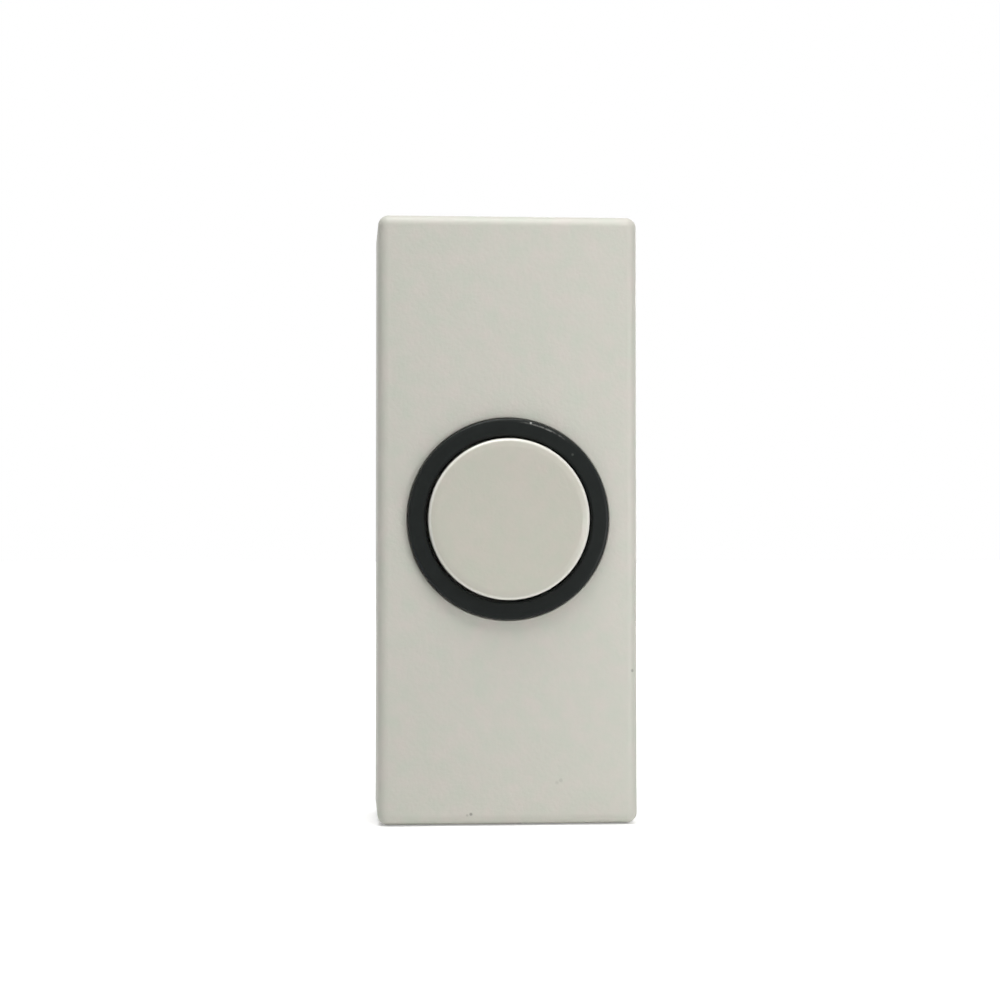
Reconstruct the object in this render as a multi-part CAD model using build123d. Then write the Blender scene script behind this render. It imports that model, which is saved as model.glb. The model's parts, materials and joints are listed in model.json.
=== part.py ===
from build123d import *
import os
from math import asin, atan, cos, hypot, radians, sin, sqrt

# Door exit button: a narrow push switch in a moulded case that is screwed to a wall.
# Lengths are millimetres. The pieces are drawn lying on their back: X to the right,
# Y up the wall and Z out of the wall, with the wall at Z = 0 and the button on the Z axis.
# The last step stands them up, so that the wall is the plane Y = 0 and the front faces -Y.

# Small round edges on turned shapes are drawn with this many flats, to keep the mesh light
edge_flats = 3

# Case, the pale shell that covers everything
case_width = 30.0
case_height = 70.0
case_depth = 15.0
case_corner = 1.3
case_edge = 1.2
case_draft = 0.4
case_wall = 1.8
case_face_wall = 2.0
case_inner_corner = 0.6
case_lift = 0.3
case_rib = 1.0
case_rib_height = 1.6
case_rib_places = (20.0, 26.0)
pry_notch_width = 6.0
pry_notch_height = 1.4

# Trim ring round the button
ring_bore = 19.0
ring_outside = 23.0
ring_proud = 1.0
ring_inset = 0.6
ring_edge = 0.36
ring_bore_edge = 0.2
ring_sleeve_wall = 1.25
ring_sleeve_depth = 2.6
ring_gap = 0.1
ring_sleeve_gap = 0.1
case_hole_edge = 0.12
finger_count = 4
finger_width = 4.0
finger_slot = 0.8
finger_depth = 2.0
finger_catch = 0.5
finger_gap = 0.05

# Push cap
cap_gap = 0.3
cap_proud = 1.0
cap_edge = 0.4
cap_dish = 0.3
cap_dish_margin = 0.1
cap_rim_width = 0.5
cap_rim_drop = 0.07
cap_face_wall = 1.8
cap_wall = 1.6
cap_flange_thickness = 1.2
cap_flange_overlap = 0.05
cap_stop_gap = 0.05
cap_ear_width = 3.0
cap_ear_reach = 1.8
ear_gap = 0.15
stem_radius = 1.5
stem_gap = 0.05
web_thickness = 1.0
web_depth = 3.6
press_travel = 1.5

# Return spring
spring_wire = 0.55
spring_wire_sides = 6
spring_radius = 4.65
spring_active_turns = 3
spring_closed_pitch = 0.58
spring_side_gap = 0.15

# Back plate
plate_fit = 0.15
plate_thickness = 2.0
plate_corner = 0.8
plate_rim = 1.2
plate_rim_height = 1.6
snap_width = 8.0
snap_thickness = 1.2
snap_height = 8.2
snap_catch = 0.5
snap_catch_height = 6.7
snap_ramp = 1.0
snap_gap = 0.1
screw_spacing = 54.0
screw_hole = 3.8
screw_countersink = 7.2
screw_boss_wall = 0.5
screw_boss_height = 1.4
entry_width = 12.0
entry_height = 8.0
entry_corner = 2.0
entry_place = 17.5
entry_lip = 1.0
entry_lip_height = 1.2

# Spring seat, the ring on four pillars that carries the spring
seat_bore = 8.4
seat_outside = 13.0
seat_thickness = 1.0
seat_lip_height = 0.9
window_width = 6.6
post_radius = 1.2
post_place = 9.8
post_web = 1.0
post_web_drop = 1.5

# Contacts
leaf_thickness = 0.3
leaf_width = 4.0
leaf_root = 8.0
strip_thickness = 0.5
strip_width = 3.4
strip_fit = 0.15
strip_bend = 0.6
strip_joggle = 1.6
contact_place = 3.6
contact_radius = 1.3
contact_shank = 0.7
contact_skirt = 0.12
contact_crown_radius = 3.0
contact_gap = 0.04
fixed_contact_height = 0.5
fixed_contact_edge = 0.12
hole_gap = 0.06

# Platforms and the rivets that hold the leaf and the strips
platform_half_height = 4.0
open_rivet_place = -9.4
rivet_shank = 1.0
rivet_head_radius = 1.6
rivet_head_height = 0.7
rivet_head_edge = 0.35
rivet_tail_radius = 1.7
rivet_tail_height = 0.7
rivet_recess_radius = 2.2
rivet_recess_depth = 1.2

# Terminals
terminal_pitch = 8.0
terminal_place = -17.0
terminal_pad = 6.0
terminal_block_margin = 0.4
leg_width = 3.0
side_margin = 0.45
barrier_thickness = 1.0
barrier_height = 3.4
insert_radius = 2.3
insert_length = 4.4
insert_fit = 0.02
thread_radius = 1.5
thread_fit = 0.03
terminal_screw_length = 4.6
terminal_head_radius = 2.8
terminal_head_height = 2.0
terminal_head_edge = 0.4
terminal_slot_width = 0.8
terminal_slot_depth = 1.0
clamp_size = 5.8
clamp_thickness = 0.9
clamp_edge = 0.2
clamp_groove = 0.25

# Sizes that follow from the ones above
case_inside = case_depth - case_face_wall
inside_width = case_width - 2 * case_wall
inside_height = case_height - 2 * case_wall
plate_width = inside_width - 2 * plate_fit
plate_height = inside_height - 2 * plate_fit
ring_radius = ring_outside / 2
bore_radius = ring_bore / 2
sleeve_radius = bore_radius + ring_sleeve_wall
case_hole_radius = sleeve_radius + ring_sleeve_gap
recess_radius = ring_radius + ring_gap
ring_floor = case_depth - ring_inset
ring_top = case_depth + ring_proud
ring_bottom = ring_floor - ring_sleeve_depth
cap_radius = bore_radius - cap_gap
cap_top = ring_top + cap_proud
cap_underside = cap_top - cap_face_wall
cap_inner_radius = cap_radius - cap_wall
rim_radius = cap_radius - cap_edge - cap_rim_width
rim_height = cap_top - cap_rim_drop
dish_radius = rim_radius - cap_dish_margin
dish_sphere_radius = (dish_radius ** 2 + cap_dish ** 2) / (2 * cap_dish)
flange_radius = sleeve_radius + cap_flange_overlap
flange_top = ring_bottom - cap_stop_gap
flange_bottom = flange_top - cap_flange_thickness

# The leaf turns about its root. The stem's round tip starts and ends the stroke just clear
# of the leaf's upper side, which fixes the swing.
press_arm = leaf_root
contact_arm = contact_place + leaf_root
tip_to_leaf = leaf_thickness / 2 + stem_radius + stem_gap
tip_at_end = tip_to_leaf - press_travel
leaf_swing = asin(tip_to_leaf / hypot(press_arm, tip_at_end)) - atan(tip_at_end / press_arm)

# The moving contact has two domed heads. Its lower dome ends the stroke just above the
# normally open contact, which fixes the height of the leaf.
contact_crown = contact_crown_radius - sqrt(contact_crown_radius ** 2 - contact_radius ** 2)
contact_head = contact_skirt + contact_crown
contact_reach = leaf_thickness / 2 + contact_head
dome_depth = contact_crown_radius - contact_reach
contact_drop = contact_crown_radius + contact_arm * sin(leaf_swing) - dome_depth * cos(leaf_swing)
open_strip_top = plate_thickness + strip_thickness
open_contact_top = open_strip_top + fixed_contact_height
leaf_middle = open_contact_top + contact_gap + contact_drop
leaf_bottom = leaf_middle - leaf_thickness / 2
leaf_top = leaf_middle + leaf_thickness / 2
closed_contact_face = leaf_middle + contact_reach + contact_gap
closed_strip_bottom = closed_contact_face + fixed_contact_height
closed_strip_top = closed_strip_bottom + strip_thickness

seat_bottom = closed_strip_top + strip_fit
seat_top = seat_bottom + seat_thickness
seat_lip_top = seat_top + seat_lip_height
seat_bore_radius = seat_bore / 2
seat_radius = seat_outside / 2
seat_lip_bore = spring_radius + spring_wire / 2 + spring_side_gap
web_reach = spring_radius - spring_wire / 2 - 2 * spring_side_gap
post_top = flange_bottom - press_travel - cap_stop_gap
side_edge = plate_width / 2 - side_margin
rivet_place = (leaf_root + side_edge) / 2
block_half_height = terminal_pad / 2 + terminal_block_margin
block_top_edge = terminal_place + block_half_height
block_bottom_edge = terminal_place - block_half_height
insert_bottom = leaf_bottom - insert_length
catch_height = case_inside - finger_gap


def disc(radius, bottom, top, x=0.0, y=0.0):
    """A round bar between two heights."""
    return Pos(x, y, (bottom + top) / 2) * Cylinder(radius, top - bottom)


def block(left, right, low, high, bottom, top):
    """A rectangular block given by its six sides."""
    middle = Pos((left + right) / 2, (low + high) / 2, (bottom + top) / 2)
    return middle * Box(right - left, high - low, top - bottom)


def slab(width, height, corner, bottom, top, draft=0.0):
    """A plate with rounded corners between two heights, narrower above if it has draft."""
    outline = Pos(0, 0, bottom) * RectangleRounded(width, height, corner)
    return extrude(outline, amount=top - bottom, taper=draft)


def turned(*points):
    """A piece turned about the Z axis from (radius, height) points."""
    return revolve(make_face(Plane.XZ * Polyline(*points, close=True)), Axis.Z)


def round_edge(radius, height, edge):
    """The points of a round outer edge below a flat top, in steps of equal angle."""
    points = []
    for step in range(edge_flats + 1):
        angle = radians(90 * step / edge_flats)
        points.append((radius - edge * (1 - cos(angle)), height - edge * (1 - sin(angle))))
    return points


def circles_at(shape, height):
    """The round edges of a turned piece at one height, from the smallest to the largest."""
    found = shape.edges().filter_by(GeomType.CIRCLE)
    found = found.filter_by_position(Axis.Z, height - 0.01, height + 0.01)
    return found.sort_by(lambda edge: edge.radius)


def front_cover():
    """The case: a drafted shell with a recessed hole for the ring, ribs and snap pockets."""
    shell = slab(case_width, case_height, case_corner, case_lift, case_depth, case_draft)
    face = shell.faces().sort_by(Axis.Z)[-1]
    shell = fillet(face.edges(), case_edge)
    shell -= slab(inside_width, inside_height, case_inner_corner, case_lift, case_inside)

    # The ring drops into a shallow recess, whose mouth is slightly rounded
    edge = round_edge(recess_radius, case_depth, case_hole_edge)
    mouth = [(2 * recess_radius - radius, height) for radius, height in edge]
    shell -= disc(case_hole_radius, case_inside, ring_floor)
    shell -= turned((0, ring_floor), (recess_radius, ring_floor), *mouth, (0, case_depth))

    # Stiffening ribs across the inside of the face
    for place in case_rib_places:
        for side in (-1, 1):
            middle = side * place
            low = middle - case_rib / 2
            high = middle + case_rib / 2
            half = inside_width / 2
            shell += block(-half, half, low, high, case_inside - case_rib_height, case_inside)

    # Two pairs of ribs guide the cap's ears and stop the cap from turning
    guide_start = case_hole_radius + finger_catch / 2
    guide_end = flange_radius + cap_ear_reach + case_rib
    guide_foot = flange_bottom - press_travel
    for side in (-1, 1):
        for turn in (0, 180):
            near = side * (cap_ear_width / 2 + ear_gap)
            far = side * (cap_ear_width / 2 + ear_gap + case_rib)
            left, right = sorted((near, far))
            rib = block(left, right, guide_start, guide_end, guide_foot, case_inside)
            shell += Rot(0, 0, turn) * rib

    # Pockets in the end walls take the back plate's snap arms
    half = snap_width / 2 + snap_gap
    wall = inside_height / 2
    pocket_end = plate_height / 2 + snap_catch + snap_gap
    pocket_low = snap_catch_height - snap_gap
    pocket_high = snap_catch_height + snap_ramp + 2 * snap_gap
    pocket = block(-half, half, wall - snap_gap, pocket_end, pocket_low, pocket_high)
    shell -= pocket
    shell -= Rot(0, 0, 180) * pocket

    # A notch in the lower rim takes the screwdriver that prises the case off
    half = pry_notch_width / 2
    low = -case_height / 2 - case_wall
    shell -= block(-half, half, low, -inside_height / 2, 0, case_lift + pry_notch_height)
    return shell


def trim_ring():
    """The black ring: a flat flange with rounded edges and a sleeve with four snap fingers."""
    ring = turned(
        (bore_radius, ring_bottom),
        (sleeve_radius, ring_bottom),
        (sleeve_radius, ring_floor),
        (ring_radius, ring_floor),
        *round_edge(ring_radius, ring_top, ring_edge),
        (bore_radius, ring_top),
    )
    ring = chamfer(circles_at(ring, ring_top)[0], ring_bore_edge)

    hooks = turned(
        (bore_radius, ring_bottom),
        (sleeve_radius, ring_bottom),
        (case_hole_radius + finger_catch, catch_height - finger_catch / 2),
        (case_hole_radius + finger_catch, catch_height),
        (bore_radius, catch_height),
    )
    hooks -= disc(bore_radius, ring_bottom, catch_height)
    half = finger_width / 2
    reach = ring_radius
    slot_top = ring_bottom + finger_depth
    for number in range(finger_count):
        turn = Rot(0, 0, (number + 0.5) * 360 / finger_count)
        ring += hooks & (turn * block(0, reach, -half, half, ring_bottom, catch_height))
        for side in (-1, 1):
            middle = side * (half + finger_slot / 2)
            low = middle - finger_slot / 2
            high = middle + finger_slot / 2
            ring -= turn * block(0, reach, low, high, ring_bottom, slot_top)
    return ring


def button_cap():
    """The push cap: a hollow cup with a stop flange, two ears, a webbed stem and a round tip."""
    cap = turned(
        (0, cap_underside),
        (cap_inner_radius, cap_underside),
        (cap_inner_radius, flange_bottom),
        (flange_radius, flange_bottom),
        (flange_radius, flange_top),
        (cap_radius, flange_top),
        *round_edge(cap_radius, rim_height, cap_edge),
        (rim_radius, cap_top),
        (0, cap_top),
    )

    # The rim falls away a little, and the face is slightly hollow to guide the fingertip
    sphere_middle = cap_top - cap_dish + dish_sphere_radius
    cap -= Pos(0, 0, sphere_middle) * Rot(90, 0, 0) * Sphere(dish_sphere_radius)
    half = cap_ear_width / 2
    ear = block(-half, half, cap_radius, flange_radius + cap_ear_reach, flange_bottom, flange_top)
    cap += ear
    cap += Rot(0, 0, 180) * ear

    tip_middle = leaf_top + stem_gap + stem_radius
    cap += disc(stem_radius, tip_middle, cap_underside)
    cap += Pos(0, 0, tip_middle) * Sphere(stem_radius)
    half = web_thickness / 2
    web = block(-web_reach, web_reach, -half, half, cap_underside - web_depth, cap_underside)
    cap += web
    cap += Rot(0, 0, 90) * web
    return cap


def return_spring():
    """A compression spring with a closed coil at each end and open coils between."""
    wire_radius = spring_wire / 2
    start = seat_top + wire_radius
    end = cap_underside - wire_radius
    open_height = end - start - 2 * spring_closed_pitch
    open_pitch = open_height / spring_active_turns
    coils = []
    rise = start
    for pitch, height in (
        (spring_closed_pitch, spring_closed_pitch),
        (open_pitch, open_height),
        (spring_closed_pitch, spring_closed_pitch),
    ):
        coils.append(Pos(0, 0, rise) * Helix(pitch, height, spring_radius))
        rise += height
    path = Wire([edge for coil in coils for edge in coil.edges()])
    section = Plane(origin=path @ 0, z_dir=path % 0) * RegularPolygon(wire_radius, spring_wire_sides)
    return sweep(section, path=path, is_frenet=True)


def case_snap_arm():
    """A snap arm of the back plate at its upper end."""
    outer = plate_height / 2
    catch = outer + snap_catch
    ramp_end = snap_catch_height + snap_ramp
    profile = Polyline(
        (outer - snap_thickness, plate_thickness),
        (outer, plate_thickness),
        (outer, snap_catch_height),
        (catch, snap_catch_height),
        (catch, snap_catch_height + snap_ramp / 3),
        (outer, ramp_end),
        (outer, snap_height),
        (outer - snap_thickness, snap_height),
        close=True,
    )
    side = Plane(origin=(-snap_width / 2, 0, 0), x_dir=(0, 1, 0), z_dir=(1, 0, 0))
    return extrude(side * make_face(profile), amount=snap_width)


def back_plate():
    """The plate on the wall, with its rim, snap arms, screw holes, spring seat and terminals."""
    plate = slab(plate_width, plate_height, plate_corner, 0, plate_thickness)
    rim_top = plate_thickness + plate_rim_height
    rim = slab(plate_width, plate_height, plate_corner, plate_thickness, rim_top)
    rim_bore_width = plate_width - 2 * plate_rim
    rim_bore_height = plate_height - 2 * plate_rim
    rim -= slab(rim_bore_width, rim_bore_height, plate_corner / 2, plate_thickness, rim_top)
    plate += rim
    arm = case_snap_arm()
    plate += arm
    plate += Rot(0, 0, 180) * arm

    # Cable entry with a low lip round it
    lip_top = plate_thickness + entry_lip_height
    outer_corner = entry_corner + entry_lip
    lip = slab(entry_width + 2 * entry_lip, entry_height + 2 * entry_lip, outer_corner, 0, lip_top)
    plate += Pos(0, entry_place, 0) * lip
    plate -= Pos(0, entry_place, 0) * slab(entry_width, entry_height, entry_corner, 0, lip_top)

    # Countersunk holes for the two wall screws, each in a raised boss
    boss_top = plate_thickness + screw_boss_height
    sink_radius = screw_countersink / 2
    hole_radius = screw_hole / 2
    sink_depth = sink_radius - hole_radius
    for side in (-1, 1):
        place = side * screw_spacing / 2
        plate += disc(sink_radius + screw_boss_wall, 0, boss_top, 0, place)
        plate -= disc(hole_radius, 0, boss_top, 0, place)
        sink = Pos(0, place, boss_top - sink_depth / 2) * Cone(hole_radius, sink_radius, sink_depth)
        plate -= sink

    # Spring seat: a ring on four pillars, open towards all four sides
    seat = disc(seat_radius, plate_thickness, seat_lip_top)
    seat -= disc(seat_bore_radius, plate_thickness, seat_top)
    seat -= disc(seat_lip_bore, seat_top, seat_lip_top)
    half = window_width / 2
    window = block(-seat_radius, seat_radius, -half, half, plate_thickness, seat_bottom)
    seat -= window
    seat -= Rot(0, 0, 90) * window
    plate += seat

    # Four posts stop the cap at the end of its stroke, each tied to a pillar by a web
    web_top = post_top - post_web_drop
    web_start = seat_radius - post_web
    half = post_web / 2
    for number in range(4):
        turn = Rot(0, 0, 45 + 90 * number)
        plate += turn * disc(post_radius, plate_thickness, post_top, post_place, 0)
        plate += turn * block(web_start, post_place, -half, half, plate_thickness, web_top)

    # Platforms for the leaf on the left and the normally closed strip on the right
    half = platform_half_height
    plate += block(-side_edge, -leaf_root, -half, half, plate_thickness, leaf_bottom)
    plate += block(leaf_root, side_edge, -half, half, plate_thickness, closed_strip_bottom)

    # Terminal block with the pockets of the three inserts, and barriers between the terminals
    low = block_bottom_edge
    high = block_top_edge
    plate += block(-side_edge, side_edge, low, high, plate_thickness, leaf_bottom)
    for number in (-1, 0, 1):
        x = number * terminal_pitch
        pocket_bottom = insert_bottom - insert_fit
        plate -= disc(insert_radius + insert_fit, pocket_bottom, leaf_bottom, x, terminal_place)
    barrier_top = leaf_bottom + barrier_height
    half = barrier_thickness / 2
    for side in (-1, 1):
        place = side * terminal_pitch / 2
        plate += block(place - half, place + half, low, high, plate_thickness, barrier_top)

    # Holes and back recesses for the three rivets
    for x, y in rivet_places:
        plate -= disc(rivet_shank + hole_gap, 0, case_inside, x, y)
        plate -= disc(rivet_recess_radius, 0, rivet_recess_depth, x, y)
    return plate


def common_leaf():
    """The springy leaf, one stamping with its root, its leg and its terminal pad."""
    half = leaf_width / 2
    root_half = platform_half_height - strip_fit
    pad = terminal_pad / 2
    pad_x = -terminal_pitch
    low = leaf_bottom
    high = leaf_top
    leaf = block(-leaf_root - half, contact_place, -half, half, low, high)
    leaf += disc(half, low, high, contact_place, 0)
    leaf += block(-side_edge, -leaf_root, -root_half, root_half, low, high)
    leaf += block(-side_edge, -side_edge + leg_width, terminal_place, 0, low, high)
    leaf += block(-side_edge, pad_x + pad, terminal_place - pad, terminal_place + pad, low, high)
    leaf -= disc(contact_shank + hole_gap, low, high, contact_place, 0)
    leaf -= disc(rivet_shank + hole_gap, low, high, -rivet_place, 0)
    leaf -= disc(thread_radius + hole_gap, low, high, pad_x, terminal_place)
    return leaf


def bent_strip(level, heel, toe, left, right, start):
    """A strip that runs down at one level and bends to the level of the terminals."""
    end = terminal_place - terminal_pad / 2
    inner = strip_bend
    outer = strip_bend + strip_thickness
    radii = (outer, inner) if level < leaf_bottom else (inner, outer)
    points = ((start, level), (heel, level), (toe, leaf_bottom), (end, leaf_bottom))
    underside = FilletPolyline(*points, radius=radii)
    outline = offset(underside, amount=strip_thickness, side=Side.RIGHT)
    side = Plane(origin=(left, 0, 0), x_dir=(0, 1, 0), z_dir=(1, 0, 0))
    return extrude(side * make_face(outline.edges()), amount=right - left)


def normally_open_strip():
    """The lower strip: under the leaf's contact, along the plate and up on to the block."""
    half = strip_width / 2
    pad = terminal_pad / 2
    low = plate_thickness
    high = open_strip_top
    heel = block_top_edge + strip_bend
    strip = bent_strip(low, heel, heel, -pad, pad, half)
    leg = block(-half, half, block_top_edge, half, low, case_inside)
    end = terminal_place - pad
    strip &= leg + block(-pad, pad, end, block_top_edge, low, case_inside)
    strip += block(-half, contact_place, -half, half, low, high)
    strip += disc(half, low, high, contact_place, 0)
    strip -= disc(contact_shank + hole_gap, low, high, contact_place, 0)
    strip -= disc(rivet_shank + hole_gap, low, high, 0, open_rivet_place)
    strip -= disc(thread_radius + hole_gap, low, case_inside, 0, terminal_place)
    return strip


def normally_closed_strip():
    """The upper strip: over the leaf's contact, across the platform and down to the block."""
    half = strip_width / 2
    pad = terminal_pad / 2
    low = closed_strip_bottom
    high = closed_strip_top
    toe = block_top_edge + strip_joggle
    heel = toe + strip_joggle
    left = terminal_pitch - pad
    strip = bent_strip(low, heel, toe, left, side_edge, half)
    leg = block(side_edge - leg_width, side_edge, terminal_place, half, 0, case_inside)
    end = terminal_place - pad
    strip &= leg + block(left, side_edge, end, terminal_place + pad, 0, case_inside)
    strip += block(contact_place, side_edge, -half, half, low, high)
    strip += disc(half, low, high, contact_place, 0)
    strip -= disc(contact_shank + hole_gap, low, high, contact_place, 0)
    strip -= disc(rivet_shank + hole_gap, low, high, rivet_place, 0)
    strip -= disc(thread_radius + hole_gap, 0, case_inside, terminal_pitch, terminal_place)
    return strip


def fixed_contact(strip_bottom, up):
    """A flat contact on a fixed strip, with its shank through the strip."""
    strip_top = strip_bottom + strip_thickness
    head_bottom = strip_top if up else strip_bottom - fixed_contact_height
    head_top = head_bottom + fixed_contact_height
    head = disc(contact_radius, head_bottom, head_top, contact_place, 0)
    head = chamfer(circles_at(head, head_top if up else head_bottom), fixed_contact_edge)
    return head + disc(contact_shank, strip_bottom, strip_top, contact_place, 0)


def moving_contact():
    """The contact at the leaf's free end, with a domed head above and below the leaf."""
    dome = Rot(90, 0, 0) * Sphere(contact_crown_radius)
    dome = Pos(0, 0, contact_reach - contact_crown_radius) * dome
    head = dome & disc(contact_radius, leaf_thickness / 2, contact_reach)
    contact = disc(contact_shank, -leaf_thickness / 2, leaf_thickness / 2)
    contact += head
    contact += Rot(180, 0, 0) * head
    return Pos(contact_place, 0, leaf_middle) * contact


def strip_rivet(x, y, seat):
    """A rivet that holds a strip or the leaf down, with its tail in a recess behind the plate."""
    head_top = seat + rivet_head_height
    tail_end = rivet_recess_depth - rivet_tail_height
    rivet = disc(rivet_head_radius, seat, head_top)
    rivet = chamfer(circles_at(rivet, head_top), rivet_head_edge)
    rivet += disc(rivet_shank, tail_end, seat)
    rivet += disc(rivet_tail_radius, tail_end, rivet_recess_depth)
    return Pos(x, y, 0) * rivet


def threaded_insert(number):
    """A threaded brass insert in the terminal block, open at both ends."""
    insert = disc(insert_radius, insert_bottom, leaf_bottom)
    insert -= disc(thread_radius, insert_bottom, leaf_bottom)
    return Pos(number * terminal_pitch, terminal_place, 0) * insert


def wire_clamp(number, seat):
    """A square clamp plate with grooves below that grip the wire."""
    half = clamp_size / 2
    top = seat + clamp_thickness
    clamp = block(-half, half, -half, half, seat, top)
    clamp = chamfer(clamp.faces().sort_by(Axis.Z)[-1].edges(), clamp_edge)
    clamp -= disc(thread_radius + hole_gap, seat, top)
    for side in (-1, 1):
        middle = side * (thread_radius + half) / 2
        groove = Rot(0, 45, 0) * Box(clamp_groove, clamp_size, clamp_groove)
        clamp -= Pos(middle, 0, seat) * groove
    return Pos(number * terminal_pitch, terminal_place, 0) * clamp


def terminal_screw(number, seat):
    """A slotted terminal screw with a low head, its thread shown at its outer diameter."""
    head_top = seat + terminal_head_height
    half = terminal_slot_width / 2
    radius = terminal_head_radius
    screw = disc(radius, seat, head_top)
    screw = chamfer(circles_at(screw, head_top), terminal_head_edge)
    screw -= block(-radius, radius, -half, half, head_top - terminal_slot_depth, head_top)
    tip = seat - terminal_screw_length
    screw += disc(thread_radius - thread_fit, tip, seat)
    return Pos(number * terminal_pitch, terminal_place, 0) * screw


rivet_places = ((-rivet_place, 0), (0, open_rivet_place), (rivet_place, 0))

pieces = {
    "front_cover": front_cover(),
    "trim_ring": trim_ring(),
    "button_cap": button_cap(),
    "return_spring": return_spring(),
    "back_plate": back_plate(),
    "common_leaf": common_leaf(),
    "moving_contact": moving_contact(),
    "normally_open_strip": normally_open_strip(),
    "normally_closed_strip": normally_closed_strip(),
    "normally_open_contact": fixed_contact(plate_thickness, True),
    "normally_closed_contact": fixed_contact(closed_strip_bottom, False),
}
strip_tops = (leaf_top, open_strip_top, closed_strip_top)
pad_tops = (leaf_top, leaf_bottom + strip_thickness, leaf_bottom + strip_thickness)
terminal_names = ("common", "normally_open", "normally_closed")
for place, name in enumerate(terminal_names):
    number = place - 1
    x, y = rivet_places[place]
    pad_top = pad_tops[place]
    pieces[f"{name}_rivet"] = strip_rivet(x, y, strip_tops[place])
    pieces[f"{name}_insert"] = threaded_insert(number)
    pieces[f"{name}_clamp"] = wire_clamp(number, pad_top)
    pieces[f"{name}_screw"] = terminal_screw(number, pad_top + clamp_thickness)

# Stand the part up, with its back on the plane Y = 0 and its front towards -Y
os.makedirs("parts", exist_ok=True)
for name, piece in pieces.items():
    export_step(Rot(90, 0, 0) * piece, f"parts/{name}.step")

print("leaf root at x", -leaf_root, "and depth", leaf_middle)
print("leaf swing in radians", leaf_swing, "per metre of travel", leaf_swing * 1000 / press_travel)
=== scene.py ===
import json
from math import cos, radians, sin, tau

import bpy
from bpy.props import FloatProperty, FloatVectorProperty, IntProperty, PointerProperty
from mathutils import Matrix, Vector


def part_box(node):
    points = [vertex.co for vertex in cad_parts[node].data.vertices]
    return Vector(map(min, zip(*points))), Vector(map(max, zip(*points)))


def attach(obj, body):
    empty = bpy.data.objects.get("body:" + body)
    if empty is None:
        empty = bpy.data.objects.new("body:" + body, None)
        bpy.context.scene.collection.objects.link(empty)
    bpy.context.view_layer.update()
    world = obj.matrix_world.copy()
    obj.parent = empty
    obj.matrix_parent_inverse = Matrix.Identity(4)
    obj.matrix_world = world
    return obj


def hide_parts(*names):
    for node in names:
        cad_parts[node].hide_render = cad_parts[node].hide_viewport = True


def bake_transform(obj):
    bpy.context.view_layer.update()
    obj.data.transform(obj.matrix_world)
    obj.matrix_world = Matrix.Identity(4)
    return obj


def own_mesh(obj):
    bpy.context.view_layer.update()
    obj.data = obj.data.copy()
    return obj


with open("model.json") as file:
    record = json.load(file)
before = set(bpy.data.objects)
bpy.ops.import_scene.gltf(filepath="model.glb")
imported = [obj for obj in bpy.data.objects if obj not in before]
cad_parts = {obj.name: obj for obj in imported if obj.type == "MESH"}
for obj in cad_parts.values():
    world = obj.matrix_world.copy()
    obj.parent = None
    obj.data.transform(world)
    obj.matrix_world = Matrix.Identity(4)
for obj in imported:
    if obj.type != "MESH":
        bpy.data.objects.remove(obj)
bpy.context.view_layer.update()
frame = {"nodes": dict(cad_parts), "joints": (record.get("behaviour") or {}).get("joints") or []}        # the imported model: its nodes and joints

# A door exit button for a wall, dressed for rendering. Everything is in metres, with the
# wall at Y = 0, the front of the button towards -Y and Z up.

bl_info = {
    "name": "Door exit button",
    "version": (1, 0, 0),
    "blender": (4, 5, 0),
    "location": "View3D > Sidebar > Exit button",
    "description": "Finishes the mouldings, metals, spring and stage of a door exit button",
    "category": "Object",
}

MM = 0.001
SAME_PLACE = 0.001 * MM      # points of a new piece that are nearer than this become one
SAME_CORNER = 0.0005 * MM    # the same for a copy of a CAD node, whose triangles are loose
ON_CUT = 0.0001 * MM         # points nearer than this to a cut lie on it
SMOOTH_ANGLE = radians(32)   # edges that turn by more than this stay sharp


def linear(red, green, blue):
    """A screen colour of 0 to 255 as the light levels that a shader takes."""
    levels = []
    for value in (red, green, blue):
        share = value / 255
        levels.append(share / 12.92 if share <= 0.04045 else ((share + 0.055) / 1.055) ** 2.4)
    return tuple(levels)


# The photograph is square. Where the case's middle is in it, in pixels, and the scale there
PHOTO_WIDTH = 1000
CASE_MIDDLE = (507.5, 519.3)
PIXELS_PER_MM = 8.69


def on_front(node, pixel_x, pixel_y):
    """The place on a node's front that the photograph shows at a pixel, in metres."""
    right = (pixel_x - CASE_MIDDLE[0]) / PIXELS_PER_MM * MM
    up = (CASE_MIDDLE[1] - pixel_y) / PIXELS_PER_MM * MM
    return Vector((right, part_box(node)[0].y, up))


class CaseSettings(bpy.types.PropertyGroup):
    """Finish of the moulded case."""

    colour: FloatVectorProperty(
        name="Case colour", description="Colour of the pale case moulding",
        subtype="COLOR", size=3, min=0.0, max=1.0, default=linear(201, 200, 190))
    roughness: FloatProperty(
        name="Roughness", description="Roughness of the case moulding",
        subtype="FACTOR", min=0.0, max=1.0, default=0.5)
    grain: FloatProperty(
        name="Grain", description="Size of the fine texture that the mould leaves",
        subtype="DISTANCE", unit="LENGTH", min=0.00002, max=0.002, default=0.0005, precision=5)
    relief: FloatProperty(
        name="Relief", description="Depth of the fine texture",
        subtype="DISTANCE", unit="LENGTH", min=0.0, max=0.0002, default=0.00004, precision=6)


class RingSettings(bpy.types.PropertyGroup):
    """Finish of the black trim ring."""

    colour: FloatVectorProperty(
        name="Ring colour", description="Colour of the black trim ring",
        subtype="COLOR", size=3, min=0.0, max=1.0, default=linear(33, 36, 35))
    roughness: FloatProperty(
        name="Roughness", description="Roughness of the trim ring",
        subtype="FACTOR", min=0.0, max=1.0, default=0.3)


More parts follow.
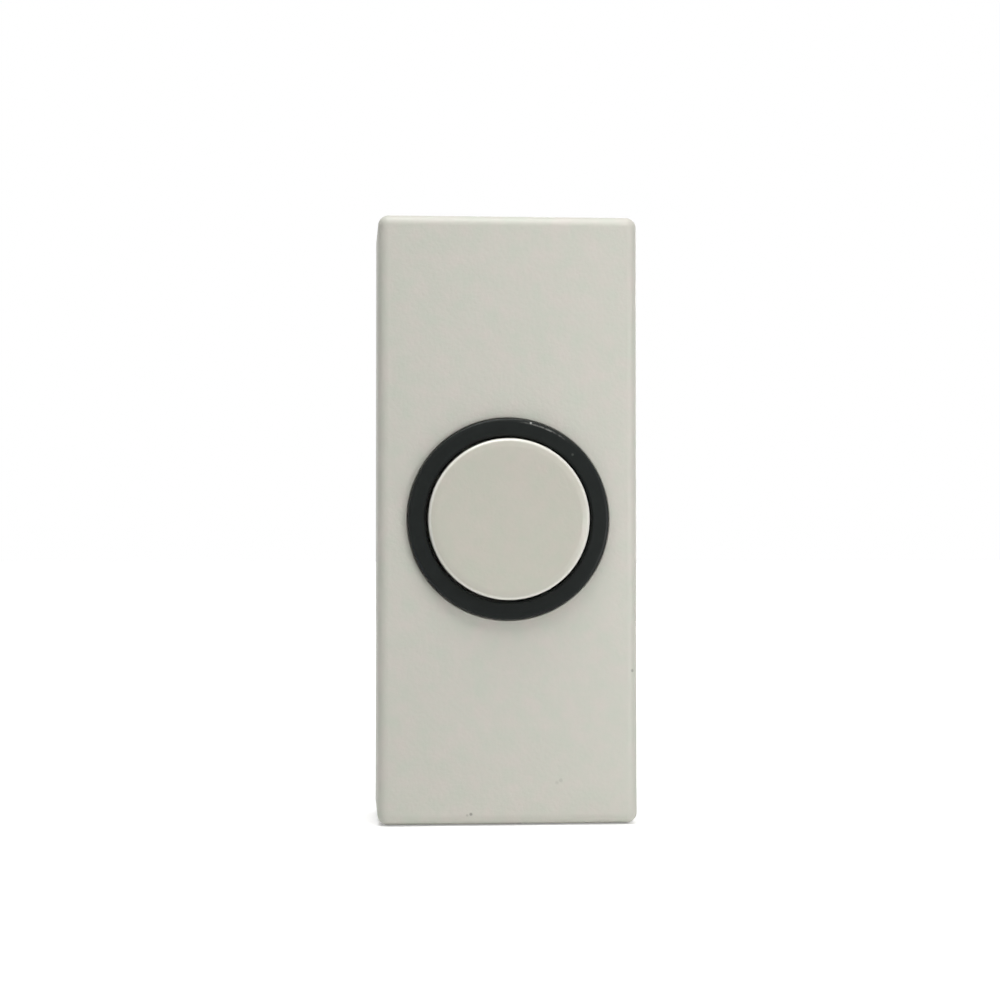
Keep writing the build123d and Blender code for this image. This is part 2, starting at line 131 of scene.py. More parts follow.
class CapSettings(bpy.types.PropertyGroup):
    """Finish of the push cap."""

    colour: FloatVectorProperty(
        name="Cap colour", description="Colour of the push cap",
        subtype="COLOR", size=3, min=0.0, max=1.0, default=linear(195, 193, 181))
    roughness: FloatProperty(
        name="Roughness", description="Roughness of the push cap",
        subtype="FACTOR", min=0.0, max=1.0, default=0.24)
    # Painted highlight: the rim is coloured lighter, as where light catches its round edge
    rim_highlight_colour: FloatVectorProperty(
        name="Rim colour", description="Colour of the cap's rim, which light shines through",
        subtype="COLOR", size=3, min=0.0, max=1.0, default=linear(229, 228, 219))
    radius: FloatProperty(
        name="Radius", description="Radius of the push cap",
        subtype="DISTANCE", unit="LENGTH", min=0.005, max=0.02, default=0.0092, precision=5)
    rim_edge: FloatProperty(
        name="Rim edge", description="Width of the rim's round edge",
        subtype="DISTANCE", unit="LENGTH", min=0.0001, max=0.001, default=0.00045, precision=5)
    rim_lead: FloatProperty(
        name="Rim lead", description="Width of the gentle slope inside the round edge",
        subtype="DISTANCE", unit="LENGTH", min=0.0001, max=0.001, default=0.0006, precision=5)
    rim_drop: FloatProperty(
        name="Rim drop", description="How far the gentle slope falls",
        subtype="DISTANCE", unit="LENGTH", min=0.0, max=0.0005, default=0.000072, precision=6)


class SpringSettings(bpy.types.PropertyGroup):
    """Make of the return spring."""

    wire: FloatProperty(
        name="Wire", description="Diameter of the spring wire",
        subtype="DISTANCE", unit="LENGTH", min=0.0002, max=0.001, default=0.00055, precision=5)
    turns: FloatProperty(
        name="Open turns", description="Turns between the closed end coils",
        min=1.0, max=12.0, default=3.0)


class LeafSettings(bpy.types.PropertyGroup):
    """Bending part of the common leaf."""

    bend_end: FloatProperty(
        name="Bend end", description="Where the bend ends and the leaf goes on straight, along X",
        subtype="DISTANCE", unit="LENGTH", min=-0.007, max=0.002, default=0.0, precision=5)
    slices: IntProperty(
        name="Slices", description="Number of parts that the bending length is cut into",
        min=4, max=40, default=18)


class FixingSettings(bpy.types.PropertyGroup):
    """Rivets, threaded inserts and terminal screws."""

    thread_pitch: FloatProperty(
        name="Thread pitch", description="Pitch of the terminal screws",
        subtype="DISTANCE", unit="LENGTH", min=0.0003, max=0.001, default=0.0005, precision=5)
    thread_radius: FloatProperty(
        name="Thread radius", description="Outer radius of the terminal screws' thread",
        subtype="DISTANCE", unit="LENGTH", min=0.001, max=0.002, default=0.00147, precision=5)
    bore_radius: FloatProperty(
        name="Bore radius", description="Radius of the inserts' bore",
        subtype="DISTANCE", unit="LENGTH", min=0.001, max=0.002, default=0.0015, precision=5)
    slot_width: FloatProperty(
        name="Slot width", description="Width of the screwdriver slot",
        subtype="DISTANCE", unit="LENGTH", min=0.0004, max=0.0015, default=0.0008, precision=5)
    slot_depth: FloatProperty(
        name="Slot depth", description="Depth of the screwdriver slot",
        subtype="DISTANCE", unit="LENGTH", min=0.0003, max=0.0015, default=0.001, precision=5)


class StageSettings(bpy.types.PropertyGroup):
    """Camera, floor and light."""

    lens: FloatProperty(
        name="Lens", description="Focal length of the camera on a 36 mm sensor, in millimetres",
        min=35.0, max=200.0, default=72.0)
    case_pixels: FloatProperty(
        name="Case height", description="Height of the case in the picture, in pixels of 1000",
        min=100.0, max=1000.0, default=608.5)
    from_left: FloatProperty(
        name="From the left", description="How far the camera stands round to the left",
        subtype="ANGLE", unit="ROTATION", min=-1.5, max=1.5, default=radians(4.0))
    from_below: FloatProperty(
        name="From below", description="How far the camera stands below the middle",
        subtype="ANGLE", unit="ROTATION", min=-1.5, max=1.5, default=radians(1.2))
    high_power: FloatProperty(
        name="High light", description="Power of the main light, high above the button",
        subtype="POWER", unit="POWER", min=0.0, max=10.0, default=2.23)
    near_power: FloatProperty(
        name="Near light", description="Power of the small light close in front, above",
        subtype="POWER", unit="POWER", min=0.0, max=1.0, default=0.033)
    low_power: FloatProperty(
        name="Low light", description="Power of the small light close in front, low on the right",
        subtype="POWER", unit="POWER", min=0.0, max=1.0, default=0.0435)
    back_power: FloatProperty(
        name="Back light", description="Power of the light that fills the side of the wall",
        subtype="POWER", unit="POWER", min=0.0, max=10.0, default=2.2)
    ambient: FloatProperty(
        name="Ambient", description="Strength of the light that comes from all round",
        min=0.0, max=2.0, default=0.01)


def only(piece):
    """Select one piece alone and make it active."""
    bpy.ops.object.select_all(action="DESELECT")
    piece.select_set(True)
    bpy.context.view_layer.objects.active = piece


def edit_all(piece):
    """Enter edit mode on one piece with everything selected."""
    only(piece)
    bpy.ops.object.mode_set(mode="EDIT")
    bpy.ops.mesh.select_all(action="SELECT")


def close_up(piece):
    """Merge doubles, turn the faces outwards and leave edit mode."""
    edit_all(piece)
    bpy.ops.mesh.remove_doubles(threshold=SAME_PLACE)
    bpy.ops.mesh.normals_make_consistent(inside=False)
    bpy.ops.object.mode_set(mode="OBJECT")


def copied(node):
    """A free copy of a CAD node in edit mode, selected, with its loose triangles merged."""
    only(frame["nodes"][node])
    bpy.ops.object.duplicate()
    piece = bpy.context.object
    piece.parent = None
    edit_all(piece)
    bpy.ops.mesh.remove_doubles(threshold=SAME_CORNER)
    return piece


def settle(piece, name, body, slot, material, *nodes):
    """Name a finished piece, give it its finish and let it stand for its CAD nodes."""
    only(piece)
    bpy.ops.object.transform_apply(location=True, rotation=True, scale=True)
    bpy.ops.object.shade_smooth_by_angle(angle=SMOOTH_ANGLE)
    piece.name = name
    piece.data.name = name
    piece.data.materials.clear()
    piece.data.materials.append(material)
    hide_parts(*nodes)
    if body:
        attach(piece, body)
    return piece


def drawn_out(middle, profile, sides, hollow=False):
    """Draw a circle out along Y through (depth, radius) steps, as a bar, or as a closed ring."""
    depth, radius = profile[0]
    bpy.ops.object.select_all(action="DESELECT")
    bpy.ops.mesh.primitive_circle_add(
        vertices=sides, radius=radius, fill_type="NOTHING" if hollow else "NGON",
        location=(middle.x, -depth, middle.z), rotation=(radians(90), 0, 0))
    piece = bpy.context.object
    bpy.ops.object.transform_apply(location=True, rotation=True)
    edit_all(piece)
    steps = list(profile[1:]) + (list(profile[:1]) if hollow else [])
    for next_depth, next_radius in steps:
        move = {"value": (0, depth - next_depth, 0)}
        bpy.ops.mesh.extrude_region_move(TRANSFORM_OT_translate=move)
        share = next_radius / radius
        bpy.ops.transform.resize(
            value=(share, 1, share), center_override=(middle.x, -next_depth, middle.z))
        depth, radius = next_depth, next_radius
    bpy.ops.object.mode_set(mode="OBJECT")
    close_up(piece)
    return piece


def apply_modifier(piece, kind, **values):
    """Add a modifier with some values and apply it."""
    only(piece)
    bpy.ops.object.modifier_add(type=kind)
    modifier = piece.modifiers[-1]
    for key, value in values.items():
        setattr(modifier, key, value)
    bpy.ops.object.modifier_apply(modifier=modifier.name)


def depths(node):
    """The depths of a node's back and front, measured out from the wall."""
    low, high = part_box(node)
    return -high.y, -low.y


def middle_of(node):
    """The middle of a node's box."""
    low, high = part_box(node)
    return (low + high) / 2


def joint_named(name):
    """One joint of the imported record."""
    return next(joint for joint in frame["joints"] if joint["name"] == name)


def seen(tree):
    """One for what the camera sees directly, in a reflection or through glass, and else zero."""
    path = tree.nodes.new("ShaderNodeLightPath")
    share = path.outputs["Is Camera Ray"]
    for ray in ("Is Glossy Ray", "Is Transmission Ray"):
        larger = tree.nodes.new("ShaderNodeMath")
        larger.operation = "MAXIMUM"
        tree.links.new(share, larger.inputs[0])
        tree.links.new(path.outputs[ray], larger.inputs[1])
        share = larger.outputs["Value"]
    return share


class Finish:
    """A material that is built up node by node round one principled shader."""

    def __init__(self, name, colour, roughness, metallic=0.0):
        self.material = bpy.data.materials.new(name)
        self.material.use_nodes = True
        self.tree = self.material.node_tree
        self.tree.nodes.clear()
        output = self.add("ShaderNodeOutputMaterial")
        self.shader = self.add("ShaderNodeBsdfPrincipled")
        self.join(self.shader, "BSDF", output, "Surface")
        self.shader.inputs["Base Color"].default_value = (*colour, 1.0)
        self.shader.inputs["Roughness"].default_value = roughness
        self.shader.inputs["Metallic"].default_value = metallic
        self.place = self.add("ShaderNodeTexCoord")
        self.material.diffuse_color = (*colour, 1.0)

    def add(self, kind, **values):
        """A new node with some of its properties set."""
        node = self.tree.nodes.new(kind)
        for key, value in values.items():
            setattr(node, key, value)
        return node

    def join(self, source, output, target, socket):
        """Link an output of one node to an input of another."""
        self.tree.links.new(source.outputs[output], target.inputs[socket])

    def noise(self, size, detail=2.0, stretch=(1.0, 1.0, 1.0)):
        """Cloudy noise with lumps of about one size, in metres, stretched along the axes."""
        mapping = self.add("ShaderNodeMapping")
        mapping.inputs["Scale"].default_value = [1 / (size * part) for part in stretch]
        self.join(self.place, "Object", mapping, "Vector")
        noise = self.add("ShaderNodeTexNoise")
        noise.inputs["Scale"].default_value = 1.0
        noise.inputs["Detail"].default_value = detail
        self.join(mapping, "Vector", noise, "Vector")
        return noise

    def ranged(self, source, output, low, high, start=0.3, end=0.7):
        """Map a value from one range to another, clamped."""
        span = self.add("ShaderNodeMapRange")
        limits = {"From Min": start, "From Max": end, "To Min": low, "To Max": high}
        for socket, value in limits.items():
            span.inputs[socket].default_value = value
        self.join(source, output, span, "Value")
        return span

    def mottled(self, size, darker, lighter, detail=3.0, warmth=0.0):
        """Let the colour drift a little over the surface, and return the node that carries it.

        Warmth makes the lighter places redder and the darker ones greener."""
        red, green, blue = self.shader.inputs["Base Color"].default_value[:3]
        mix = self.add("ShaderNodeMix", data_type="RGBA")
        for socket, share, lean in (("A", darker, -warmth), ("B", lighter, warmth)):
            mix.inputs[socket].default_value = (
                red * share * (1 + lean), green * share * (1 - lean), blue * share, 1.0)
        drift = self.ranged(self.noise(size, detail), "Fac", 0.0, 1.0)
        self.join(drift, "Result", mix, "Factor")
        self.join(mix, "Result", self.shader, "Base Color")
        return mix

    def grained(self, size, depth, detail=2.0, stretch=(1.0, 1.0, 1.0)):
        """Give the surface a fine relief."""
        bump = self.add("ShaderNodeBump")
        bump.inputs["Strength"].default_value = 1.0
        bump.inputs["Distance"].default_value = depth
        self.join(self.noise(size, detail, stretch), "Fac", bump, "Height")
        self.join(bump, "Normal", self.shader, "Normal")

    def calculated(self, operation, source, output, second=0.0):
        """A sum on one node's output and a number, or the first output of a second node."""
        node = self.add("ShaderNodeMath", operation=operation)
        self.join(source, output, node, 0)
        if isinstance(second, bpy.types.Node):
            self.join(second, 0, node, 1)
        else:
            node.inputs[1].default_value = second
        return node

    def from_axis(self):
        """The distance from the Y axis."""
        across = self.add("ShaderNodeVectorMath", operation="MULTIPLY")
        across.inputs[1].default_value = (1, 0, 1)
        self.join(self.place, "Object", across, 0)
        out = self.add("ShaderNodeVectorMath", operation="LENGTH")
        self.join(across, "Vector", out, 0)
        return out

    def painted(self, colour_node, share, output, colour):
        """Mix a colour over what a node carries, and return the node that carries the result."""
        mix = self.add("ShaderNodeMix", data_type="RGBA")
        mix.inputs["B"].default_value = (*colour, 1.0)
        self.join(share, output, mix, "Factor")
        self.join(colour_node, "Result", mix, "A")
        self.join(mix, "Result", self.shader, "Base Color")
        return mix

    def rimmed(self, colour_node, colour, start, end):
        """Let the colour go over to another one outwards from the Y axis, between two radii."""
        share = self.ranged(self.from_axis(), "Value", 0.0, 1.0, start, end)
        return self.painted(colour_node, share, "Result", colour)

    def painted_highlight_arc(self, colour_node, colour, radius, width, middle, half, strength, lumps):
        """Add a painted highlight: a broken light line on an arc round the Y axis, strongest at
        its middle.

        The arc's middle and half its length are angles, and lumps is the size of its breaks."""
        off_line = self.calculated("SUBTRACT", self.from_axis(), "Value", radius)
        distance = self.calculated("ABSOLUTE", off_line, "Value")
        line = self.ranged(distance, "Value", strength, 0.0, 0.0, width)
        axes = self.add("ShaderNodeSeparateXYZ")
        self.join(self.place, "Object", axes, "Vector")
        angle = self.calculated("ARCTAN2", axes, "Z", axes)
        off_middle = self.calculated("SUBTRACT", angle, "Value", middle)
        turn = self.calculated("ABSOLUTE", off_middle, "Value")
        arc = self.ranged(turn, "Value", 1.0, 0.0, 0.0, half)
        broken = self.ranged(self.noise(lumps), "Fac", 0.1, 1.0, 0.4, 0.6)
        whole = self.calculated("MULTIPLY", line, "Result", arc)
        share = self.calculated("MULTIPLY", whole, "Value", broken)
        return self.painted(colour_node, share, "Value", colour)

    def marked(self, colour_node, marks):
        """Add small marks: each has a place, a radius in metres, a strength and a colour."""
        full_to = 0.4    # the share of its radius over which a mark has its full strength
        for place, radius, strength, colour in marks:
            distance = self.add("ShaderNodeVectorMath", operation="DISTANCE")
            distance.inputs[1].default_value = place
            self.join(self.place, "Object", distance, 0)
            spot = self.ranged(distance, "Value", strength, 0.0, radius * full_to, radius)
            spot.interpolation_type = "SMOOTHSTEP"
            colour_node = self.painted(colour_node, spot, "Result", colour)


def dress(material, *names):
    """Give CAD nodes one material."""
    for name in names:
        slots = frame["nodes"][name].data.materials
        slots.clear()
        slots.append(material)


class EXITBUTTON_OT_case(bpy.types.Operator):
    """Finish the moulded case, with its fine texture and its few small marks"""

    bl_idname = "exit_button.case"
    bl_label = "Finish the case"

    dark = linear(90, 88, 82)
    grey = linear(150, 148, 140)
    # Each dirt mark's pixel, how far behind the front it lies, where the edge is round, its
    # radius, its strength and its colour
    marks = (
        (470.4, 811.5, 0.0, 0.24 * MM, 0.6, dark),
        (466.6, 812.5, 0.0, 0.2 * MM, 0.25, dark),
        (559.8, 778.8, 0.0, 0.3 * MM, 0.3, grey),
        (556.0, 781.0, 0.0, 0.28 * MM, 0.2, grey),
        (631.8, 670.2, 0.16 * MM, 0.26 * MM, 0.45, dark),
    )

    def execute(self, context):
        settings = context.scene.exit_button_case
        finish = Finish("case_moulding", settings.colour, settings.roughness)
        colour = finish.mottled(2.2 * MM, 0.98, 1.02, detail=5.0, warmth=0.021)
        finish.grained(settings.grain, settings.relief, detail=3.0)
        finish.marked(colour, [
            (on_front("front_cover", pixel_x, pixel_y) + Vector((0, behind, 0)), *look)
            for pixel_x, pixel_y, behind, *look in self.marks])
        dress(finish.material, "front_cover")
        return {"FINISHED"}


class EXITBUTTON_OT_ring(bpy.types.Operator):
    """Finish the black trim ring, with a painted highlight and glint on its upper right edge"""

    bl_idname = "exit_button.ring"
    bl_label = "Finish the ring"

    gloss = 0.08
    fleck = linear(88, 92, 88)
    # The colour of the painted highlight and glint on the ring's outer edge
    painted_glint = linear(200, 200, 195)

    def execute(self, context):
        settings = context.scene.exit_button_ring
        finish = Finish("ring_moulding", settings.colour, settings.roughness)
        finish.shader.inputs["Specular IOR Level"].default_value = self.gloss
        colour = finish.mottled(1.5 * MM, 0.93, 1.07)
        finish.grained(0.15 * MM, 0.004 * MM)
        # Painted highlight: a broken light line along the ring's upper right outer edge, where a
        # lamp's reflection falls
        colour = finish.painted_highlight_arc(
            colour, self.painted_glint, radius=11.14 * MM, width=0.13 * MM, middle=radians(68),
            half=radians(17), strength=0.45, lumps=0.35 * MM)
        finish.marked(colour, (
            (on_front("trim_ring", 570.9, 455.2), 0.2 * MM, 0.5, self.fleck),
            # Painted glint: a small light spot on the ring's upper outer edge
            (on_front("trim_ring", 529.4, 423.8), 0.17 * MM, 0.8, self.painted_glint),
        ))
        dress(finish.material, "trim_ring")
        return {"FINISHED"}


class EXITBUTTON_OT_cap(bpy.types.Operator):
    """Polish the push cap's rim into one soft curve and finish it, with a painted highlight on the
    rim
    """

    bl_idname = "exit_button.cap"
    bl_label = "Finish the cap"

    sides = 128
    steps = 8
    slope = radians(9)          # how much the rim already slopes where its round edge starts
    fall = 1.6                  # how the gentle slope before it steepens
    spare = 0.03 * MM           # how far the bar's side stands clear of the cap's
    off_face = 0.004 * MM       # how far the bar's front stands clear of the cap's hollow face
    bar_front = 1.0 * MM        # how far the bar reaches in front of the cap
    bar_back = 40 * MM          # how far it reaches behind the cap's front
    collar_back = 3.0 * MM      # where it gets wide enough for the cap's flange and ears
    collar_width = 12 * MM      # how much wider it is there
    # Where the painted highlight on the cap's rim starts and where it is full
    highlight_from = 0.38 * MM       # how far in from the cap's side the rim's colour starts
    highlight_full = 0.18 * MM       # how far in it is full

    def rounded(self, front, settings):
        """A bar that holds the whole cap and has the soft rim at its front end."""
        outer = settings.radius + self.spare
        curve = settings.rim_edge / (1 - sin(self.slope))
        turn = outer - curve
        level = front - settings.rim_drop - curve * cos(self.slope)
        inner = turn + curve * sin(self.slope)
        face = inner - settings.rim_lead
        wide = settings.radius + self.collar_width
        collar = front - self.collar_back
        profile = [(front - self.bar_back, wide), (collar, wide), (collar, outer)]
        for step in range(self.steps + 1):
            angle = radians(90) + (self.slope - radians(90)) * step / self.steps
            profile.append((level + curve * cos(angle), turn + curve * sin(angle)))
        for share in (2 / 3, 1 / 3):
            depth = front - settings.rim_drop * share ** self.fall
            profile.append((depth, inner - settings.rim_lead * (1 - share)))
        profile += [(front + self.off_face, face), (front + self.bar_front, face)]
        return drawn_out(Vector((0, 0, 0)), profile, self.sides)

    def execute(self, context):
        settings = context.scene.exit_button_cap
        cap = copied("button_cap")
        bpy.ops.object.mode_set(mode="OBJECT")
        bar = self.rounded(depths("button_cap")[1], settings)
        apply_modifier(cap, "BOOLEAN", operation="INTERSECT", object=bar, solver="EXACT")
        bpy.data.objects.remove(bar)
        close_up(cap)
        finish = Finish("cap_moulding", settings.colour, settings.roughness)
        colour = finish.mottled(1.8 * MM, 0.984, 1.016, detail=5.0, warmth=0.018)
        # Painted highlight: the colour goes over to a lighter one towards the cap's side
        finish.rimmed(
            colour, settings.rim_highlight_colour, settings.radius - self.highlight_from,
            settings.radius - self.highlight_full)
        finish.grained(0.45 * MM, 0.03 * MM, detail=3.0)
        settle(cap, "push_cap", "push_button", "cap_plastic", finish.material, "button_cap")
        return {"FINISHED"}


class EXITBUTTON_OT_plate(bpy.types.Operator):
    """Finish the back plate"""

    bl_idname = "exit_button.plate"
    bl_label = "Finish the back plate"

    def execute(self, context):
        finish = Finish("plate_moulding", linear(205, 205, 197), 0.5)
        finish.mottled(3.0 * MM, 0.98, 1.02)
        finish.grained(0.25 * MM, 0.01 * MM)
        dress(finish.material, "back_plate")
        return {"FINISHED"}


class EXITBUTTON_OT_spring(bpy.types.Operator):
    """Wind the return spring from round wire, with a closed coil at each end"""

    bl_idname = "exit_button.spring"
    bl_label = "Wind the spring"

    sides = 12
    steps = 48
    closed_turns = 1.0
    closed_pitch = 0.58 * MM
    samples = 7
    eased_turns = 0.3     # the part of a turn over which one pitch goes over to the next

    def rise(self, turn, turns, height):
        """The height of the wire's middle above its start after some turns."""
        open_turns = turns - 2 * self.closed_turns
        open_pitch = (height - 2 * self.closed_turns * self.closed_pitch) / open_turns
        total = 0.0
        for number in range(self.samples):
            at = turn + (number / (self.samples - 1) - 0.5) * self.eased_turns
            near = min(at, self.closed_turns)
            middle = min(max(at - self.closed_turns, 0.0), open_turns)
            far = max(at - self.closed_turns - open_turns, 0.0)
            total += (near + far) * self.closed_pitch + middle * open_pitch
        return total / self.samples

    def execute(self, context):
        settings = context.scene.exit_button_spring
        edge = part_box("return_spring")[1].x
        back, front = depths("return_spring")
        wire = settings.wire / 2
        turns = round(settings.turns + 2 * self.closed_turns)
        height = front - back - settings.wire
        bpy.ops.object.select_all(action="DESELECT")
        bpy.ops.mesh.primitive_circle_add(
            vertices=self.sides, radius=wire, location=(edge - wire, -back - wire, 0))
        coil = context.object
        bpy.ops.object.transform_apply(location=True)
        apply_modifier(
            coil, "SCREW", axis="Y", angle=tau, screw_offset=-height / turns, iterations=turns,
            steps=self.steps, render_steps=self.steps, use_smooth_shade=True)
        for index, vertex in enumerate(coil.data.vertices):
            turn = index // self.sides / self.steps
            vertex.co.y += turn * height / turns - self.rise(turn, turns, height)
        edit_all(coil)
        bpy.ops.mesh.fill_holes(sides=0)
        bpy.ops.object.mode_set(mode="OBJECT")
        close_up(coil)
        finish = Finish("spring_wire", linear(168, 168, 170), 0.3, 1.0)
        finish.mottled(1.0 * MM, 0.94, 1.05)
        finish.grained(0.08 * MM, 0.003 * MM)
        settle(coil, "coil_spring", "housing", "spring_steel", finish.material, "return_spring")
        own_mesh(coil)
        return {"FINISHED"}


class EXITBUTTON_OT_leaf(bpy.types.Operator):
    """Slice the common leaf across along the length where it bends from its root"""

    bl_idname = "exit_button.leaf"
    bl_label = "Make the leaf bend"

    def execute(self, context):
        settings = context.scene.exit_button_leaf
        start = Vector(joint_named("leaf_flex")["pos_m"])
        leaf = copied("common_leaf")
        bpy.ops.mesh.dissolve_limited(angle_limit=radians(1))
        length = settings.bend_end - start.x
        for number in range(settings.slices + 1):
            bpy.ops.mesh.select_all(action="SELECT")
            place = start + Vector((length * number / settings.slices, 0, 0))
            bpy.ops.mesh.bisect(plane_co=place, plane_no=(1, 0, 0), threshold=ON_CUT)
        bpy.ops.object.mode_set(mode="OBJECT")
        finish = Finish("phosphor_bronze", linear(196, 138, 92), 0.32, 1.0)
        finish.mottled(1.5 * MM, 0.93, 1.05)
        finish.grained(0.1 * MM, 0.003 * MM, stretch=(8.0, 1.0, 1.0))
        settle(leaf, "bending_leaf", None, "bronze", finish.material, "common_leaf")
        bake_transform(leaf)
        return {"FINISHED"}


class EXITBUTTON_OT_contacts(bpy.types.Operator):
    """Finish the fixed strips and the silver contacts"""

    bl_idname = "exit_button.contacts"
    bl_label = "Finish the contacts"

    def execute(self, context):
        brass = Finish("stamped_brass", linear(214, 178, 102), 0.3, 1.0)
        brass.mottled(1.8 * MM, 0.92, 1.05)
        brass.grained(0.12 * MM, 0.004 * MM)
        silver = Finish("contact_silver", linear(226, 224, 216), 0.22, 1.0)
        silver.mottled(0.8 * MM, 0.93, 1.03)
        silver.grained(0.1 * MM, 0.002 * MM)
        dress(brass.material, "normally_open_strip", "normally_closed_strip")
        dress(
            silver.material, "moving_contact", "normally_open_contact", "normally_closed_contact")
        return {"FINISHED"}


class EXITBUTTON_OT_fixings(bpy.types.Operator):
    """Model the rivets, the knurled inserts and the threaded terminal screws"""

    bl_idname = "exit_button.fixings"
    bl_label = "Model the fixings"

    terminals = ("common", "normally_open", "normally_closed")
    rivet_sides = 40
    insert_sides = 36
    screw_sides = 32

    # A rivet's rolled tail, from the hollow in its back end on, and its round head. Each step
    # has a depth in from that end of the rivet, and a radius
    rivet_tail = (
        (0.3 * MM, 0.25 * MM), (0.26 * MM, 0.62 * MM), (0.06 * MM, 0.86 * MM),
        (0.0, 1.05 * MM), (0.03 * MM, 1.36 * MM), (0.2 * MM, 1.62 * MM), (0.42 * MM, 1.7 * MM),
        (0.7 * MM, 1.66 * MM), (0.7 * MM, 1.0 * MM))
    rivet_head = (
        (0.7 * MM, 1.0 * MM), (0.7 * MM, 1.55 * MM), (0.62 * MM, 1.6 * MM),
        (0.4 * MM, 1.56 * MM), (0.17 * MM, 1.3 * MM), (0.04 * MM, 0.85 * MM), (0.0, 0.35 * MM))

    knurl_bands = (0.12, 0.44, 0.56, 0.88)    # their ends, as shares of an insert's length
    knurl_root = 0.1 * MM                     # how deep the knurls' roots lie
    knurl_rise = 0.09 * MM                    # how far the knurls stand up from there
    insert_lead = 0.2 * MM                    # the bevels at both ends of an insert
    insert_end = 0.12 * MM                    # how long the outer bevels are

    head_depth = 2.0 * MM                     # from a screw's front to the underside of its head
    neck_length = 0.3 * MM                    # the plain part between the head and the thread
    neck_end = 0.5 * MM                       # how far behind the head the neck ends, inside it
    thread_share = 0.6                        # a thread's depth as a share of its pitch
    thread_flat = (0.42, 0.58)                # where its flat crest starts and ends in a pitch
    spare_turns = 4                           # turns wound past the shank's ends, and cut off
    early_turns = 1.5                         # those of them that come before the tip

    # A screw head's steps back from its front, and how much narrower than the head they are
    screw_head = (
        (0.75 * MM, 0.0), (0.35 * MM, 0.2 * MM), (0.1 * MM, 0.7 * MM), (0.0, 1.5 * MM))

    def execute(self, context):
        settings = context.scene.exit_button_fixings
        brass = Finish("turned_brass", linear(212, 176, 104), 0.28, 1.0)
        brass.mottled(1.2 * MM, 0.92, 1.05)
        brass.grained(0.09 * MM, 0.003 * MM)
        zinc = Finish("zinc_plate", linear(190, 193, 196), 0.34, 1.0)
        zinc.mottled(1.2 * MM, 0.92, 1.05)
        zinc.grained(0.1 * MM, 0.003 * MM)
        for name in self.terminals:
            dress(zinc.material, f"{name}_clamp")
            rivet = self.rivet(f"{name}_rivet")
            settle(rivet, f"{name}_set_rivet", "housing", "brass", brass.material, f"{name}_rivet")
            insert = self.insert(f"{name}_insert", settings)
            settle(
                insert, f"{name}_knurled_insert", "housing", "brass", brass.material,
                f"{name}_insert")
            screw = self.screw(f"{name}_screw", settings)
            settle(
                screw, f"{name}_threaded_screw", "housing", "zinc_steel", zinc.material,
                f"{name}_screw")
        return {"FINISHED"}

    def rivet(self, node):
        """A rivet with a rounded head in front, and a rolled tail with a hollow end behind."""
        back, front = depths(node)
        profile = [(back + depth, radius) for depth, radius in self.rivet_tail]
        profile += [(front - depth, radius) for depth, radius in self.rivet_head]
        return drawn_out(middle_of(node), profile, self.rivet_sides)

    def insert(self, node, settings):
        """A brass insert with two straight-knurled bands and a countersunk bore."""
        back, front = depths(node)
        low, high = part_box(node)
        middle = middle_of(node)
        root = (high.x - low.x) / 2 - self.knurl_root
        bore = settings.bore_radius
        lead = self.insert_lead
        ends = [back + (front - back) * share for share in self.knurl_bands]
        profile = [(back, bore + lead), (back, root - lead), (back + self.insert_end, root)]
        profile += [(end, root) for end in ends]
        profile += [
            (front - self.insert_end, root), (front, root - lead), (front, bore + lead),
            (front - lead, bore), (back + lead, bore)]
        insert = drawn_out(middle, profile, self.insert_sides, hollow=True)
        edit_all(insert)
        bpy.ops.mesh.select_all(action="DESELECT")
        bpy.ops.object.mode_set(mode="OBJECT")
        for face in insert.data.polygons:
            out = Vector((face.center.x - middle.x, 0, face.center.z - middle.z))
            if out.length < (root + bore) / 2:
                continue
            depth = -face.center.y
            banded = ends[0] < depth < ends[1] or ends[2] < depth < ends[3]
            step = round(out.xz.angle_signed(Vector((1, 0))) / (tau / self.insert_sides) - 0.5)
            face.select = banded and step % 2 == 0
        bpy.ops.object.mode_set(mode="EDIT")
        bpy.ops.mesh.select_mode(type="FACE")
        bpy.ops.mesh.extrude_region_shrink_fatten(
            TRANSFORM_OT_shrink_fatten={"value": self.knurl_rise})
        bpy.ops.object.mode_set(mode="OBJECT")
        return insert

    def screw(self, node, settings):
        """A slotted screw with a low domed head and a cut thread."""
        back, front = depths(node)
        low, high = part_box(node)
        middle = middle_of(node)
        radius = (high.x - low.x) / 2
        seat = front - self.head_depth
        neck = seat - self.neck_length
        root = settings.thread_radius - self.thread_share * settings.thread_pitch
        bevel = 0.1 * MM
        profile = [
            (seat - self.neck_end, root - bevel), (neck, root + 0.02 * MM), (seat, root),
            (seat, radius - bevel), (seat + bevel, radius)]
        profile += [(front - depth, radius - narrower) for depth, narrower in self.screw_head]
        body = drawn_out(middle, profile, self.screw_sides)
        shank = self.shank(middle, back, neck, root, settings)
        apply_modifier(body, "BOOLEAN", operation="UNION", object=shank, solver="EXACT")
        bpy.data.objects.remove(shank)
        bpy.ops.object.select_all(action="DESELECT")
        bpy.ops.mesh.primitive_cube_add(size=1.0, location=(middle.x, -front, middle.z))
        cutter = bpy.context.object
        cutter.scale = (3 * radius, 2 * settings.slot_depth, settings.slot_width)
        bpy.ops.object.transform_apply(location=True, scale=True)
        apply_modifier(body, "BOOLEAN", operation="DIFFERENCE", object=cutter, solver="EXACT")
        bpy.data.objects.remove(cutter)
        close_up(body)
        return body

